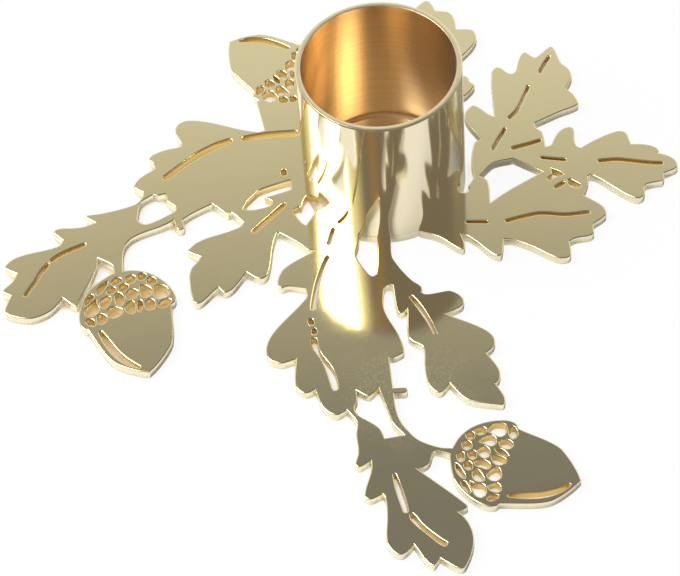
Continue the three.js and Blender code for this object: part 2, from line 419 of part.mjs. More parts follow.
// A round-ended loop along a route that gives a width at each of its points
function slotLoop(route, scale) {
  const drawn = route.map(([x, y, width]) => new THREE.Vector3(x * scale, y * scale, width));
  const middle = new THREE.CatmullRomCurve3(drawn).getPoints(slotSteps * (drawn.length - 1));
  const headings = middle.map((point, i) => {
    const before = middle[Math.max(i - 1, 0)];
    const after = middle[Math.min(i + 1, middle.length - 1)];
    return Math.atan2(after.y - before.y, after.x - before.x);
  });
  const beside = (i, turn) => {
    const way = headings[i] + turn;
    const half = middle[i].z / 2;
    return new THREE.Vector2(middle[i].x + half * Math.cos(way), middle[i].y + half * Math.sin(way));
  };
  const quarter = Math.PI / 2;
  const roundEnd = [1, 0.5, 0, -0.5, -1];
  const last = middle.length - 1;
  const right = middle.map((_, i) => beside(i, -quarter)).slice(1, last);
  const left = middle.map((_, i) => beside(i, quarter)).slice(1, last).reverse();
  const farEnd = roundEnd.map((share) => beside(last, -quarter * share));
  const nearEnd = roundEnd.map((share) => beside(0, 2 * quarter - quarter * share));
  return [...right, ...farEnd, ...left, ...nearEnd];
}

// A pit's loop in the acorn's own frame
function pitLoop(outline) {
  const drawn = outline.map(([along, across]) => new THREE.Vector3(along, across, 0));
  const loop = new THREE.CatmullRomCurve3(drawn, true).getSpacedPoints(pitSegments);
  return loop.slice(0, pitSegments).map((point) => new THREE.Vector2(point.x, point.y));
}

function roundLoop(radius) {
  const circle = new THREE.EllipseCurve(0, 0, radius, radius);
  return circle.getPoints(roundSegments).slice(0, roundSegments);
}

function placed(loop, { stem, points, length }) {
  const turn = THREE.MathUtils.degToRad(points);
  const foot = new THREE.Vector2(stem[0], stem[1]).multiplyScalar(plateScale);
  const origin = new THREE.Vector2(0, 0);
  const scale = length / drawnAcornLength;
  return loop.map((point) => point.clone().multiplyScalar(scale).rotateAround(origin, turn).add(foot));
}

function prism(loop, low, high) {
  const shape = new THREE.Shape(loop);
  const geometry = new THREE.ExtrudeGeometry(shape, { depth: high - low, bevelEnabled: false });
  geometry.translate(0, 0, low);
  return toSolid(geometry);
}

const sheet = (loop) => prism(loop, 0, plateTop);
const cutter = (loop) => prism(loop, -cutMargin, plateTop + cutMargin);
const joined = (solids) => solids.reduce((sum, solid) => sum.add(solid));

// Leaf plate
function makeLeafPlate() {
  const leaves = [
    frontLeaf, frontSideLeaf, frontEndLeaf, leftLeaf, leftSideLeaf, leftEndLeaf,
    backLeaf, backNeck, rightLeaves,
  ];
  const blades = leaves.map((runs) => sheet(loopFrom(runs, plateScale)));
  const nuts = acorns.map((acorn) => sheet(placed(loopFrom(acornOutline, 1), acorn)));
  const twigStubs = stubs.map((route) => sheet(slotLoop(route, plateScale)));

  const openings = gaps.map((runs) => cutter(loopFrom(runs, plateScale)));
  const veinCuts = veins.map((route) => cutter(slotLoop(route, plateScale)));
  const acornCuts = acorns.flatMap((acorn) => {
    const pits = capPits.map((pit) => cutter(placed(pitLoop(pit), acorn)));
    return [...pits, cutter(placed(slotLoop(nutCrescent, 1), acorn))];
  });

  // the disc under the cup, with the round candle seat as a face of its own
  const seat = roundLoop(seatRadius);
  return joined([...blades, ...nuts, ...twigStubs])
    .subtract(joined([...openings, ...veinCuts, ...acornCuts]))
    .add(sheet(roundLoop(discRadius)))
    .subtract(cutter(seat))
    .add(sheet(seat));
}

// Turned pieces: a closed profile of radius and height, turned about the cup's axis
function turned(profile) {
  const geometry = new THREE.LatheGeometry([...profile, profile[0]], roundSegments);
  geometry.rotateX(Math.PI / 2);
  return toGeometry(toSolid(geometry));
}

const arc = (radius, height, size, from, to) => new THREE.EllipseCurve(
  radius, height, size, size, from, to, to < from).getPoints(rimSegments);

// Candle cup: an open tube with a softly rounded rim
function makeCandleCup() {
  const rimBase = rimTop - rimRound;
  return turned([
    new THREE.Vector2(boreRadius, plateTop),
    new THREE.Vector2(cupRadius, plateTop),
    ...arc(cupRadius - rimRound, rimBase, rimRound, 0, Math.PI / 2),
    ...arc(boreRadius + rimRound, rimBase, rimRound, Math.PI / 2, Math.PI),
  ]);
}

// Solder ring: a hollow fillet in the corner between the bore and the plate
function makeSolderRing() {
  const inner = boreRadius - solderLeg;
  return turned([
    new THREE.Vector2(boreRadius, plateTop),
    ...arc(inner, plateTop + solderLeg, solderLeg, 0, -Math.PI / 2),
  ]);
}

const brass = { color: 0xc8b06a, metalness: 1 };

function piece(name, geometry, finish) {
  const mesh = new THREE.Mesh(geometry, new THREE.MeshStandardMaterial(finish));
  mesh.name = name;
  return mesh;
}

const candlestick = new THREE.Group();
candlestick.name = 'candlestick';
candlestick.add(
  piece('leaf_plate', toGeometry(makeLeafPlate()), { ...brass, roughness: 0.25 }),
  piece('candle_cup', makeCandleCup(), { ...brass, roughness: 0.12 }),
  piece('solder_ring', makeSolderRing(), { color: 0xb9a98a, metalness: 1, roughness: 0.45 }),
);

export default candlestick;
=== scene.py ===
import math

import bmesh
import bpy
from mathutils import Matrix, Vector, kdtree
from mathutils.geometry import interpolate_bezier, intersect_line_line_2d


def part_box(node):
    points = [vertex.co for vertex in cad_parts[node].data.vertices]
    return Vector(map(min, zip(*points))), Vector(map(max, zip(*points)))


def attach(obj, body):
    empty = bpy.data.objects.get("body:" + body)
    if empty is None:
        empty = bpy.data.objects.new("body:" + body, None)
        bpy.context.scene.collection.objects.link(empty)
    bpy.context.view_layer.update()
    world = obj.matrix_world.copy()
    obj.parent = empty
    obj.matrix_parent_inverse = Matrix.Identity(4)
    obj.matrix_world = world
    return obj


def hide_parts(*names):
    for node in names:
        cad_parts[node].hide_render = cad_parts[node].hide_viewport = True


# Brass candlestick: a flat plate cut into oak leaves and acorns, with a turned candle cup soldered on it.
# Metres, +Z up, origin on the cup's axis at table level.

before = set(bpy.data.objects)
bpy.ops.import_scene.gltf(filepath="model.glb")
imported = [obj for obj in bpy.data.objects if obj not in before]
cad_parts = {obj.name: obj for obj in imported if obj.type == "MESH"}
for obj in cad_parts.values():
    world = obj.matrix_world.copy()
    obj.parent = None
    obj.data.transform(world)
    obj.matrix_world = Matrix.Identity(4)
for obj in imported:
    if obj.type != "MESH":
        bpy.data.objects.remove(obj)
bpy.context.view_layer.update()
scene = bpy.context.scene
scene.view_settings.view_transform = "Standard"
mm = 0.001
weld = 0.002 * mm  # points closer than this are one
pureWhite = (1.0, 1.0, 1.0, 1.0)
print("frame loaded", sorted(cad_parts))


# Shader maths as plain expressions
class Value:
    def __init__(self, tree, socket):
        self.tree = tree
        self.socket = socket

    def math(self, operation, first, second=0.0):
        return self.tree.add("ShaderNodeMath", {"operation": operation}, {0: first, 1: second})

    def __add__(self, other):
        return self.math("ADD", self, other)

    def __radd__(self, other):
        return self.math("ADD", other, self)

    def __sub__(self, other):
        return self.math("SUBTRACT", self, other)

    def __rsub__(self, other):
        return self.math("SUBTRACT", other, self)

    def __mul__(self, other):
        return self.math("MULTIPLY", self, other)

    def __rmul__(self, other):
        return self.math("MULTIPLY", other, self)

    def __truediv__(self, other):
        return self.math("DIVIDE", self, other)

    def __lt__(self, other):
        return self.math("LESS_THAN", self, other)

    def __gt__(self, other):
        return self.math("GREATER_THAN", self, other)

    def clamped(self):
        return self.tree.add("ShaderNodeClamp", {}, {"Value": self})

    # 0 at start and 1 a span further on
    def rising(self, start, span):
        return ((self - start) / span).clamped()

    # 1 a span before the end and 0 from there on
    def falling(self, end, span):
        return ((end - self) / span).clamped()

    def squared(self):
        return self.math("MULTIPLY", self, self)

    def root(self):
        return self.math("SQRT", self)

    def ramp(self, *stops):
        return self.tree.add("ShaderNodeValToRGB", {"stops": stops}, {"Fac": self}, "Color")


class Tree:
    def __init__(self, owner):
        owner.use_nodes = True
        self.nodes = owner.node_tree.nodes
        self.links = owner.node_tree.links
        self.nodes.clear()

    # one way to add any node: its type, its settings, then its sockets
    def add(self, kind, settings, sockets, output=0):
        node = self.nodes.new(kind)
        for name, setting in settings.items():
            if name == "stops":
                ramp = node.color_ramp
                while len(ramp.elements) < len(setting):
                    ramp.elements.new(1.0)
                for element, (place, colour) in zip(ramp.elements, setting):
                    element.position = place
                    element.color = colour if len(colour) == 4 else (*colour, 1.0)
            else:
                setattr(node, name, setting)
        for name, given in sockets.items():
            if isinstance(given, Value):
                self.links.new(given.socket, node.inputs[name])
            else:
                node.inputs[name].default_value = given
        if isinstance(output, tuple):
            return [Value(self, node.outputs[name]) for name in output]
        return Value(self, node.outputs[output]) if node.outputs else None

    def place(self):
        return self.add("ShaderNodeTexCoord", {}, {}, "Object")

    def parts(self, vector):
        return self.add("ShaderNodeSeparateXYZ", {}, {0: vector}, ("X", "Y", "Z"))

    def stretched(self, vector, scale):
        return self.add("ShaderNodeMapping", {}, {"Vector": vector, "Scale": scale})

    def noise(self, vector, scale, detail=3.0, roughness=0.55):
        sockets = {"Vector": vector, "Scale": scale, "Detail": detail, "Roughness": roughness}
        return self.add("ShaderNodeTexNoise", {}, sockets, "Fac")

    def distance(self, vector, point):
        return self.add("ShaderNodeVectorMath", {"operation": "DISTANCE"}, {0: vector, 1: point}, "Value")

    def mixed(self, share, first, second):
        return self.add("ShaderNodeMix", {"data_type": "RGBA"}, {0: share, 6: first, 7: second}, 2)

    def seenBy(self, *rays):
        return self.add("ShaderNodeLightPath", {}, {}, rays)

    def bump(self, height, strength, distance):
        sockets = {"Height": height, "Strength": strength, "Distance": distance}
        return self.add("ShaderNodeBump", {}, sockets, "Normal")

    def surface(self, sockets):
        return self.add("ShaderNodeBsdfPrincipled", {}, sockets)

    def output(self, shader, kind="ShaderNodeOutputMaterial"):
        self.add(kind, {}, {"Surface": shader})


def newTree(name):
    material = bpy.data.materials.new(name)
    return material, Tree(material)


sheetLook = {
    "brass": (0.86, 0.77, 0.445, 1.0),
    "warmBrass": (0.87, 0.76, 0.415, 1.0),
    "seatBrassPaintedShade": (0.86, 0.67, 0.42, 1.0),  # inside the cup, deeper orange: painted shade in the cup's hollow
    "seatRadius": 11.2 * mm,
    "polish": 0.07,
    "seatRough": 0.12,
    "paintedLightWallBrass": (0.92, 0.86, 0.62, 1.0),  # the outer walls, less polished than the top and painted paler as painted light
    "paintedShadeCutBrass": (0.84, 0.60, 0.20, 1.0),  # the walls of the narrow cuts, painted deep golden: painted shade and bounced light
    "cutRough": 0.10,
    "cutStart": 0.7,  # how level a face still is where the wall's look begins
    "cutGain": 3.0,
    "waviness": 0.015 * mm,
    "waveScale": 70.0,
    "grain": 0.0015 * mm,
    "grainScale": 3800.0,
    "smear": 0.05,  # roughness of the smears left by polishing
    "smearScale": 240.0,
    "specks": 0.10,  # roughness of the specks in a grainy patch on the front leaf
    "speckPlace": (0.0, -38.0 * mm, 1.5 * mm),
    "speckReach": 12.0 * mm,
    "speckStart": 0.47,
    "speckGain": 7.0,
    "patchGain": 2.0,
}


def makeSheetBrass(look):
    material, tree = newTree("sheetBrass")
    place = tree.place()
    x, y, z = tree.parts(place)
    seat = (x.squared() + y.squared()).root() < look["seatRadius"]
    cloud = tree.noise(place, look["waveScale"])
    grain = tree.noise(place, look["grainScale"], 1.0)
    smear = tree.noise(place, look["smearScale"], 4.0)
    away = tree.distance(place, look["speckPlace"]) / look["speckReach"]
    patch = ((1.0 - away) * look["patchGain"] + (smear - 0.5) * look["patchGain"]).clamped()
    specks = ((grain - look["speckStart"]) * look["speckGain"]).clamped() * patch
    upright = tree.parts(tree.add("ShaderNodeNewGeometry", {}, {}, "Normal"))[2]
    # faces that are not level take a wall colour: outer walls painted paler as painted light, narrow cuts'
    # walls painted deep golden as painted shade
    cut = ((look["cutStart"] - upright.squared().root()) * look["cutGain"]).clamped()
    # inside the cup the plate is painted a deeper orange as painted shade
    colour = tree.mixed(seat, tree.mixed(cloud, look["brass"], look["warmBrass"]), look["seatBrassPaintedShade"])
    # the "inner" attribute marks the narrow cuts, whose walls are painted deep golden as painted shade
    inner = tree.add("ShaderNodeAttribute", {"attribute_name": "inner"}, {}, "Fac")
    colour = tree.mixed(cut, colour, tree.mixed(inner, look["paintedLightWallBrass"], look["paintedShadeCutBrass"]))
    rough = look["polish"] + smear * look["smear"] + seat * look["seatRough"]
    rough = rough + specks * look["specks"] + cut * look["cutRough"]
    height = cloud * look["waviness"] + grain * look["grain"]
    normal = tree.bump(height, 1.0, 1.0)
    tree.output(tree.surface(
        {"Base Color": colour, "Metallic": 1.0, "Roughness": rough, "Normal": normal}))
    return material


tubeLook = {
    "brass": (0.88, 0.80, 0.58, 1.0),
    "warmBrass": (0.88, 0.79, 0.55, 1.0),
    # the bore's two colours are deeper and darker than the outside wall as painted shade inside the cup;
    # the turning marks choose between them
    "boreBrass": (0.905, 0.75, 0.51, 1.0),
    "darkBore": (0.83, 0.67, 0.45, 1.0),
    "boreLimit": 11.3 * mm,  # between the bore and the rim
    "polish": 0.08,
    "smear": 0.04,  # roughness of the smears left by polishing
    "smearScale": 180.0,
    "streaks": 0.012 * mm,
    "streakScale": (420.0, 420.0, 12.0),
    "turned": 0.27,  # roughness of the bore
    "drawnOut": 0.5,  # anisotropy of the bore
    "drawnTurn": 0.25,
    "rings": 0.004 * mm,
    "ringRough": 0.04,
    "ringScale": (25.0, 25.0, 1700.0),
    "ringGain": 3.0,
    # the rim's top is coloured more olive and darker than the wall: painted shade
    "rimBrass": (0.87, 0.78, 0.47, 1.0),
    "rimHeight": 25.95 * mm,
}


def makeTubeBrass(look):
    material, tree = newTree("tubeBrass")
    place = tree.place()
    x, y, z = tree.parts(place)
    inside = (x.squared() + y.squared()).root() < look["boreLimit"]
    rings = tree.noise(tree.stretched(place, look["ringScale"]), 1.0, 3.0)
    marks = ((rings - 0.5) * look["ringGain"] + 0.5).clamped()
    streaks = tree.noise(tree.stretched(place, look["streakScale"]), 1.0, 3.0)
    smear = tree.noise(place, look["smearScale"], 3.0)
    wall = tree.mixed(smear, look["brass"], look["warmBrass"])
    outside = tree.surface({
        "Base Color": tree.mixed(z > look["rimHeight"], wall, look["rimBrass"]),
        "Metallic": 1.0,
        "Roughness": look["polish"] + smear * look["smear"],
        "Normal": tree.bump(streaks * look["streaks"], 1.0, 1.0),
    })
    # the turning marks run round the bore and draw its reflections out along it
    bore = tree.surface({
        # bore colours are painted shade, deeper than the outside
        "Base Color": tree.mixed(marks, look["boreBrass"], look["darkBore"]),
        "Metallic": 1.0,
        "Roughness": look["turned"] + rings * look["ringRough"],
        "Normal": tree.bump(rings * look["rings"], 1.0, 1.0),
        "Anisotropic": look["drawnOut"],
        "Anisotropic Rotation": look["drawnTurn"],
    })
    tree.output(tree.add("ShaderNodeMixShader", {}, {0: inside, 1: outside, 2: bore}))
    return material


solderLook = {
    "colour": (0.84, 0.62, 0.38, 1.0),
    "darker": (0.76, 0.55, 0.34, 1.0),
    "rough": 0.55,
    "lumps": 0.01 * mm,
    "lumpRough": 0.15,
    "lumpScale": 900.0,
}


def makeSolder(look):
    material, tree = newTree("solderSeam")
    place = tree.place()
    lumps = tree.noise(place, look["lumpScale"], 3.0)
    colour = tree.mixed(lumps, look["colour"], look["darker"])
    rough = look["rough"] + lumps * look["lumpRough"]
    normal = tree.bump(lumps * look["lumps"], 1.0, 1.0)
    tree.output(tree.surface(
        {"Base Color": colour, "Metallic": 1.0, "Roughness": rough, "Normal": normal}))
    return material


def finishPiece(name, body, material, node):
    mesh = bpy.data.meshes.new(name)
    body.to_mesh(mesh)
    body.free()
    mesh.materials.append(material)
    piece = bpy.data.objects.new(name, mesh)
    scene.collection.objects.link(piece)
    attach(piece, "root")
    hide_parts(node)
    print(name, len(mesh.polygons), "faces")
    return piece


# Leaf plate, worked out in millimetres and brought to metres at the end
plate = {
    "topRound": 0.17,  # radius of the worn upper edge
    "footRound": 0.08,
    "roundSteps": 4,
    "footSteps": 2,
    "flatStrip": 0.03,  # narrow flat strip inside the rounded edge
    "weldWithin": 0.002,
    "levelWithin": 0.01,
    "flatEnough": 0.9,
    "corner": math.radians(40),  # sharper turns stay sharp
    "gentle": math.radians(30),
    "straightRatio": 3,  # a piece this much longer than the next counts as a straight run
    "facetTurn": math.radians(6),
    "mostFacets": 6,
    "shortest": 0.03,
    "longest": 0.7,
    "leastSide": 1e-6,  # below this the outline turns straight back
    "leastCosine": 0.45,  # limit of the stretch at corners
    "reach": 0.7,  # how far a thin web is looked for
    "webShare": 0.46,
    "nextPoints": 8,  # points this near along the same loop are no web
    "facing": 0.6,
    "foldLimit": 0.15,
    "foldEase": 0.85,
    "foldRounds": 60,
    "evenRounds": 4,
    "crossReach": 0.84,
    "crossEase": 0.8,
    "crossRounds": 20,
    "narrow": 2.2,  # cuts narrower than this are inner ones, whose walls get the painted golden shade
    "narrowFade": 0.9,
}


# The cut outlines, read from the flat top of the plate
def readLoops(node, high, look):
    body = bmesh.new()
    body.from_mesh(node.data)
    bmesh.ops.scale(body, vec=(1 / mm, 1 / mm, 1 / mm), verts=body.verts)
    bmesh.ops.remove_doubles(body, verts=body.verts, dist=look["weldWithin"])
    body.normal_update()
    beside = {}
    for edge in body.edges:
        level = all(abs(vert.co.z - high.z) < look["levelWithin"] for vert in edge.verts)
        flat = [face for face in edge.link_faces if abs(face.normal.z) > look["flatEnough"]]
        if level and len(flat) == 1 and len(edge.link_faces) == 2:
            first, second = edge.verts
            beside.setdefault(first, []).append(second)
            beside.setdefault(second, []).append(first)
    loops = []
    seen = set()
    for start in beside:
        if start in seen:
            continue
        loop = [start]
        seen.add(start)
        while True:
            onward = [vert for vert in beside[loop[-1]] if vert not in seen]
            if not onward:
                break
            loop.append(onward[0])
            seen.add(onward[0])
        loops.append([Vector((vert.co.x, vert.co.y)) for vert in loop])
    body.free()
    return loops


def signedArea(points):
    return 0.5 * sum(a.x * b.y - b.x * a.y for a, b in zip(points, points[1:] + points[:1]))


def turnAt(before, point, after):
    return (point - before).angle_signed(after - point, 0.0)


# A smooth loop through the drawn points, with the sharp notches kept
def smoothLoop(points, low, high, look):
    kept = []
    for point in points:
        if not kept or (point - kept[-1]).length > look["shortest"]:
            kept.append(point)
    if (kept[0] - kept[-1]).length < look["shortest"]:
        kept.pop()
    count = len(kept)
    turns = [turnAt(kept[i - 1], kept[i], kept[(i + 1) % count]) for i in range(count)]
    sharp = [abs(turn) > look["corner"] for turn in turns]
    tangents = []
    for i in range(count):
        before, after = kept[i] - kept[i - 1], kept[(i + 1) % count] - kept[i]
        shorter, longer = sorted((before, after), key=lambda way: way.length)
        if abs(turns[i]) < look["gentle"]:
            tangent = before.normalized() + after.normalized()
        elif longer.length > look["straightRatio"] * shorter.length:
            tangent = longer  # straight run
        else:
            tangent = before.normalized() * after.length + after.normalized() * before.length
        tangents.append(tangent.normalized())
    loop = []
    for i in range(count):
        j = (i + 1) % count
        span = kept[j] - kept[i]
        third = span.length / 3
        leave = kept[i] + (span / 3 if sharp[i] else tangents[i] * third)
        arrive = kept[j] - (span / 3 if sharp[j] else tangents[j] * third)
        bend = abs(turnAt(kept[i], leave, arrive)) + abs(turnAt(leave, arrive, kept[j]))
        facets = min(look["mostFacets"], math.ceil(bend / look["facetTurn"]))
        steps = max(1, facets, math.ceil(span.length / look["longest"]))
        loop += interpolate_bezier(kept[i], leave, arrive, kept[j], steps + 1)[:-1]
    return [Vector((min(max(x, low.x), high.x), min(max(y, low.y), high.y))) for x, y, *rest in loop]


# For each point of a loop, the way into the metal, stretched at corners so that the edge keeps its width
def inwardWays(loop, look):
    ways = []
    for i, point in enumerate(loop):
        before = (point - loop[i - 1]).normalized()
        after = (loop[(i + 1) % len(loop)] - point).normalized()
        side = Vector((-before.y - after.y, before.x + after.x))
        across = Vector((-after.y, after.x))
        side = side.normalized() if side.length > look["leastSide"] else across
        stretch = max(look["leastCosine"], side.dot(across))
        ways.append(side / stretch)
    return ways


# The rounding that fits at each point: less where the web to the next cut is thin or a tip is tight
def fittingRounds(loops, ways, look):
    tree = kdtree.KDTree(sum(len(loop) for loop in loops))
    homes = []
    for number, loop in enumerate(loops):
        for i, point in enumerate(loop):
            tree.insert((point.x, point.y, 0.0), len(homes))
            homes.append((number, i))
    tree.balance()
    rounds = []
    for number, loop in enumerate(loops):
        count = len(loop)
        fits = []
        for i, point in enumerate(loop):
            way = ways[number][i].normalized()
            room = look["topRound"] + look["flatStrip"]
            for found, index, distance in tree.find_range((point.x, point.y, 0.0), look["reach"]):
                other, j = homes[index]
                apart = min(abs(i - j), count - abs(i - j)) if other == number else count
                across = Vector((found[0], found[1])) - point
                faces = distance > 0 and across.dot(way) > look["facing"] * distance
                if apart > look["nextPoints"] and faces:
                    room = min(room, look["webShare"] * distance)
            fits.append(room)
        for again in range(look["foldRounds"]):
            folded = False
            for i in range(count):
                j = (i + 1) % count
                span = loop[j] - loop[i]
                inner = span + ways[number][j] * fits[j] - ways[number][i] * fits[i]
                if inner.dot(span) < look["foldLimit"] * span.length_squared:
                    fits[i] *= look["foldEase"]
                    fits[j] *= look["foldEase"]
                    folded = True
            if not folded:
                break
        for again in range(look["evenRounds"]):
            means = [(fits[i - 1] + fits[i] + fits[(i + 1) % count]) / 3 for i in range(count)]
            fits = [min(fit, mean) for fit, mean in zip(fits, means)]
        rounds.append(fits)
    return rounds


# Less rounding still where the inner edges of two cuts would cross
def uncross(loops, ways, rounds, look):
    for again in range(look["crossRounds"]):
        spans = []
        for number, loop in enumerate(loops):
            inner = [point + way * fit for point, way, fit in zip(loop, ways[number], rounds[number])]
            spans += [(number, i, inner[i - 1], inner[i]) for i in range(len(inner))]
        tree = kdtree.KDTree(len(spans))
        for index, (number, i, start, end) in enumerate(spans):
            tree.insert((*((start + end) / 2), 0.0), index)
        tree.balance()
        crossed = set()
        for index, (number, i, start, end) in enumerate(spans):
            middle = (*((start + end) / 2), 0.0)
            for found, other, distance in tree.find_range(middle, look["crossReach"]):
                if other <= index:
                    continue
                otherNumber, j, otherStart, otherEnd = spans[other]
                count = len(loops[number])
                if otherNumber == number and (i - j) % count in (0, 1, count - 1):
                    continue
                if intersect_line_line_2d(start, end, otherStart, otherEnd):
                    crossed |= {(number, i), (number, (i - 1) % count), (otherNumber, j),
                                (otherNumber, (j - 1) % len(loops[otherNumber]))}
        if not crossed:
            break
        for number, i in crossed:
            for near in (i - 1, i, i + 1):
                rounds[number][near % len(loops[number])] *= look["crossEase"]
    print("edge roundings settled after", again, "rounds")
    return rounds


def makePlate(look, material):
    low, high = (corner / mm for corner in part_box("leaf_plate"))
    drawn = readLoops(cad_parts["leaf_plate"], high, look)
    loops = [smoothLoop(points, low, high, look) for points in drawn]
    outer = max(loops, key=lambda loop: abs(signedArea(loop)))
    # metal on the left of every loop
    loops = [loop if (signedArea(loop) > 0) == (loop is outer) else loop[::-1] for loop in loops]
    ways = [inwardWays(loop, look) for loop in loops]
    rounds = uncross(loops, ways, fittingRounds(loops, ways, look), look)
    body = bmesh.new()
    spot = body.verts.layers.int.new("spot")
    inner = body.verts.layers.float.new("inner")
    points, inward, fits, sharp, edges = [], [], [], [], []
    for loop, loopWays, loopFits in zip(loops, ways, rounds):
        ring = []
        around = sum((point - loop[i - 1]).length for i, point in enumerate(loop))
        width = 2 * abs(signedArea(loop)) / around
        # how fully this cut's walls take the painted golden shade of a narrow cut
        innerShare = min(max((look["narrow"] - width) / look["narrowFade"], 0.0), 1.0)
        for i, point in enumerate(loop):
            vert = body.verts.new((point.x, point.y, high.z))
            vert[spot] = len(points)
            vert[inner] = innerShare
            ring.append(vert)
            turn = turnAt(loop[i - 1], point, loop[(i + 1) % len(loop)])
            sharp.append(abs(turn) > look["corner"])
            points.append(point)
            inward.append(loopWays[i])
            fits.append(loopFits[i])
        edges += [body.edges.new((ring[i - 1], ring[i])) for i in range(len(ring))]
    # section of the edge as shares of the rounding: over the top, down the wall and under the foot
    strip = (look["topRound"] + look["flatStrip"]) / look["topRound"]
    foot = look["footRound"] / look["topRound"]
    section = [("top", strip, 0.0)]
    for step in range(look["roundSteps"] + 1):
        angle = math.pi / 2 * step / look["roundSteps"]
        section.append(("top", 1 - math.sin(angle), 1 - math.cos(angle)))
    for step in range(look["footSteps"] + 1):
        angle = math.pi / 2 * step / look["footSteps"]
        section.append(("foot", foot * (1 - math.cos(angle)), foot * (1 - math.sin(angle))))
    section.append(("foot", foot * strip, 0.0))
    ring = list(body.verts)
    topEdges = edges
    for number, (end, inset, depth) in enumerate(section):
        if number:
            grown = bmesh.ops.extrude_edge_only(body, edges=edges)["geom"]
            ring = [item for item in grown if isinstance(item, bmesh.types.BMVert)]
            fresh = set(ring)
            edges = [item for item in grown if isinstance(item, bmesh.types.BMEdge)
                     and item.verts[0] in fresh and item.verts[1] in fresh]
        for vert in ring:
            i = vert[spot]
            size = fits[i] / strip
            x, y = points[i] + inward[i] * inset * size
            vert.co = (x, y, high.z - depth * size if end == "top" else low.z + depth * size)
    for edge in body.edges:
        first, second = edge.verts
        if first[spot] == second[spot] and sharp[first[spot]]:
            edge.smooth = False
    bmesh.ops.triangle_fill(body, use_beauty=True, edges=topEdges, normal=(0, 0, 1))
    bmesh.ops.triangle_fill(body, use_beauty=True, edges=edges, normal=(0, 0, -1))
    bmesh.ops.recalc_face_normals(body, faces=body.faces)
    for face in body.faces:
        face.smooth = True
    body.verts.layers.int.remove(spot)
    bmesh.ops.scale(body, vec=(mm, mm, mm), verts=body.verts)
    return finishPiece("oakLeafPlate", body, material, "leaf_plate")


# A closed ring turned from its section, given as (radius, height) points
def turned(section, steps):
    body = bmesh.new()
    verts = [body.verts.new((radius, 0.0, height)) for radius, height in section]
    edges = [body.edges.new((verts[i - 1], verts[i])) for i in range(len(verts))]
    bmesh.ops.spin(body, geom=verts + edges, cent=(0, 0, 0), axis=(0, 0, 1), angle=2 * math.pi,
                   steps=steps, use_merge=True)
    bmesh.ops.remove_doubles(body, verts=body.verts, dist=weld)
    bmesh.ops.recalc_face_normals(body, faces=body.faces)
    for face in body.faces:
        face.smooth = True
    return body


def arc(centre, radius, start, end, steps):
    points = []
    for step in range(steps + 1):
        angle = math.radians(start + (end - start) * step / steps)
        points.append((centre[0] + radius * math.cos(angle), centre[1] + radius * math.sin(angle)))
    return points


cup = {
    "radius": 12.0 * mm,
    "bore": 11.15 * mm,
    "lip": 0.06 * mm,  # rounding of the rim, outside and inside
    "lipSteps": 5,
    "bevel": 0.23 * mm,  # the steep bevel round the outside of the rim
    "bevelTilt": 52,  # degrees
    "sharpTurn": math.radians(25),
    "support": 0.04 * mm,  # short straight run that holds the shading beside the inner rounding
    "turnSteps": 192,
}


def makeCup(look, material):
    low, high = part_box("candle_cup")
    outer, bore, lip, support = look["radius"], look["bore"], look["lip"], look["support"]
    tilt = math.radians(look["bevelTilt"])
    across, down = look["bevel"] * math.cos(tilt), look["bevel"] * math.sin(tilt)
    centre = (outer - across - lip * math.sin(tilt), high.z - lip)
    crown = arc(centre, lip, 90 - look["bevelTilt"], 90, look["lipSteps"])
    section = [(outer, low.z), (outer, crown[0][1] - down)] + crown
    section += arc((bore + lip, high.z - lip), lip, 90, 180, look["lipSteps"])
    section += [(bore, high.z - lip - support), (bore, low.z)]
    body = turned(section, look["turnSteps"])
    for edge in body.edges:
        if edge.calc_face_angle(0.0) > look["sharpTurn"]:
            edge.smooth = False
    return finishPiece("candleCup", body, material, "candle_cup")


seam = {
    "bore": 11.15 * mm,
    "leg": 0.6 * mm,
    "steps": 5,
    "turnSteps": 144,
    "sharpTurn": math.radians(50),
}


def makeSeam(look, material):
    low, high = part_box("solder_ring")
    bore, leg = look["bore"], look["leg"]
    section = [(bore, low.z)] + arc((bore - leg, low.z + leg), leg, -90, 0, look["steps"])
    body = turned(section, look["turnSteps"])
    for edge in body.edges:
        if edge.calc_face_angle(0.0) > look["sharpTurn"]:
            edge.smooth = False
    return finishPiece("solderSeam", body, material, "solder_ring")


makePlate(plate, makeSheetBrass(sheetLook))
makeCup(cup, makeTubeBrass(tubeLook))
makeSeam(seam, makeSolder(solderLook))


# White table under the object
table = {
    "size": 3.0,
    "drop": 0.05 * mm,
    "white": (0.9, 0.9, 0.9, 1.0),
    "rough": 0.7,
    "seenShare": 0.93,  # the camera sees this much plain white, and the object's shadow in the rest
    "mirroredShare": 0.04,  # and the polished brass this much, or more in the cuts and on the lamp's side, where that extra glow is painted light
    "cutReach": 2.5 * mm,  # how far round each point of the floor its openness is judged
    "cutSamples": 8,
    # extra glow of the floor in reflections inside narrow cuts: painted light on the cut walls
    "paintedCutLightShare": 0.55,
    "cutStart": 0.05,  # openness, 0 in a tight cut and 1 in the clear
    "cutEnd": 0.5,
    "cutFade": 0.2,
    "paintedLampSideLightShare": 0.85,  # painted light: extra glow seen in reflections of the open floor on the lamp's side
    "clearStart": 0.7,
    "clearFade": 0.2,
    "clearWidth": 10.0 * mm,
    "golden": (0.60, 0.38, 0.13, 1.0),  # light in the narrow cuts
    "cream": (0.95, 0.82, 0.58, 1.0),
    "dark": 0.08,  # openness up to which it is golden, with more on the left and by the front acorn
    "leftDark": 0.24,
    "leftStart": 10.0 * mm,
    "leftFade": 20.0 * mm,
    "acornPlace": (11.5 * mm, -54.5 * mm, 0.0),
    "acornReach": 11.0 * mm,
    "acornGain": 3.0,
    "acornDark": 0.02,
    "fade": 0.10,
    "creamWidth": 0.6,
}


